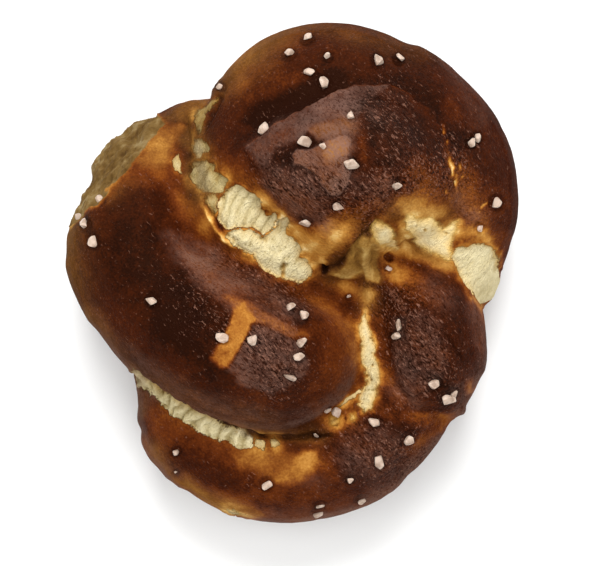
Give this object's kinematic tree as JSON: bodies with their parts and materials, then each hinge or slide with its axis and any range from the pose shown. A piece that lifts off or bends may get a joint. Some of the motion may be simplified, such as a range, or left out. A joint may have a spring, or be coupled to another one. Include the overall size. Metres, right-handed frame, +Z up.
{
  "type": "pretzel knot",
  "caption": "Soft pretzel roll tied from one rope of dough into a rounded three-lobed knot, with torn seams and a flat baked base.",
  "frame": {"origin": "on the tray face, under the middle of the loaf's bounding box", "axes": "+Z up, +Y along the loaf's length towards its highest lobe, +X to the right when the loaf is seen from above with +Y up the page"},
  "size_m": [0.0899, 0.0998, 0.0458],
  "materials": {
    "crust": "satin dark brown baked crust, golden and cream where the seams tore",
    "salt": "matte translucent coarse salt grains"
  },
  "bodies": {
    "root": {"knot": "crust"}
  },
  "joints": []
}
